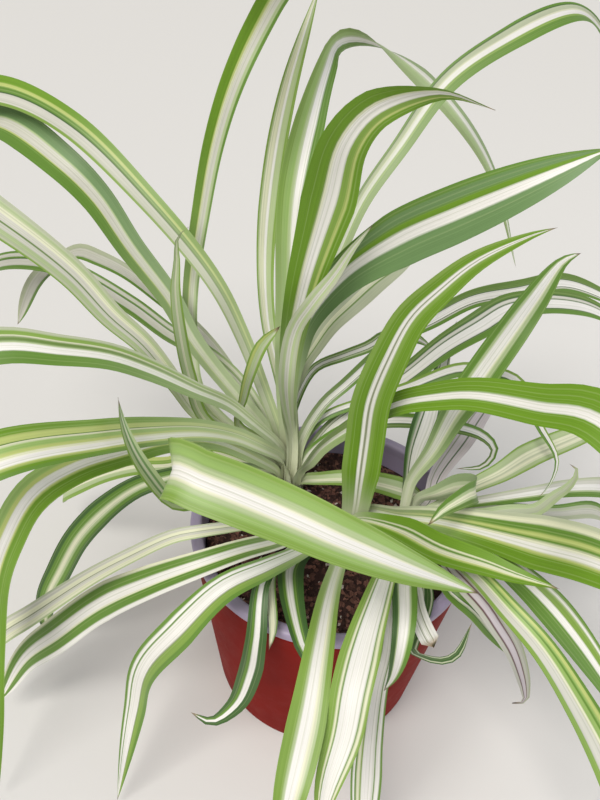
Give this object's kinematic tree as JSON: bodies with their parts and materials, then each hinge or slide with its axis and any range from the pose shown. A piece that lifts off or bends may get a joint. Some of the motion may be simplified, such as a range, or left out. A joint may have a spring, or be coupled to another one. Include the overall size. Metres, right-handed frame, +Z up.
{
  "type": "potted spider plant",
  "caption": "Potted spider plant: dense tufts of arching leaves, green with a pale central stripe, in a white grow pot set inside a tapered red plastic pot.",
  "frame": {"origin": "centre of the underside of the red pot, on the surface it stands on", "axes": "+Z up the pot's axis, -Y towards the viewer of the picture, where the plant is fullest"},
  "size_m": [0.4048, 0.2818, 0.2954],
  "materials": {
    "green_leaf": "satin striped leaf, green margins round a white centre band",
    "pale_leaf": "satin pale leaf sheath",
    "red_plastic": "satin moulded plastic",
    "white_plastic": "satin moulded plastic",
    "dark_soil": "rough crumbled potting soil"
  },
  "bodies": {
    "root": {"red_pot": "red_plastic", "grow_pot": "white_plastic", "soil": "dark_soil", "tuft_left": "pale_leaf", "tuft_middle": "pale_leaf", "tuft_right": "pale_leaf", "leaf_left_01": "green_leaf", "leaf_left_02": "green_leaf", "leaf_left_03": "green_leaf", "leaf_left_04": "green_leaf", "leaf_left_05": "green_leaf", "leaf_left_06": "green_leaf", "leaf_left_07": "green_leaf", "leaf_left_08": "green_leaf", "leaf_left_09": "green_leaf", "leaf_left_10": "green_leaf", "leaf_left_11": "green_leaf", "leaf_left_12": "green_leaf", "leaf_left_13": "green_leaf", "leaf_left_14": "green_leaf", "leaf_left_15": "green_leaf", "leaf_left_16": "green_leaf", "leaf_left_17": "green_leaf", "leaf_left_18": "green_leaf", "leaf_left_19": "green_leaf", "leaf_left_20": "green_leaf", "leaf_left_21": "green_leaf", "leaf_left_22": "green_leaf", "leaf_left_23": "green_leaf", "leaf_left_24": "green_leaf", "leaf_left_25": "green_leaf", "leaf_left_26": "green_leaf", "leaf_left_27": "green_leaf", "leaf_left_28": "green_leaf", "leaf_left_29": "green_leaf", "leaf_middle_01": "green_leaf", "leaf_middle_02": "green_leaf", "leaf_middle_03": "green_leaf", "leaf_middle_04": "green_leaf", "leaf_middle_05": "green_leaf", "leaf_middle_06": "green_leaf", "leaf_middle_07": "green_leaf", "leaf_middle_08": "green_leaf", "leaf_middle_09": "green_leaf", "leaf_right_01": "green_leaf", "leaf_right_02": "green_leaf", "leaf_right_03": "green_leaf", "leaf_right_04": "green_leaf", "leaf_right_05": "green_leaf", "leaf_right_06": "green_leaf", "leaf_right_07": "green_leaf", "leaf_right_08": "green_leaf", "leaf_right_09": "green_leaf", "leaf_right_10": "green_leaf", "leaf_right_11": "green_leaf", "leaf_right_12": "green_leaf", "leaf_right_13": "green_leaf", "leaf_right_14": "green_leaf", "leaf_right_15": "green_leaf"}
  },
  "joints": []
}
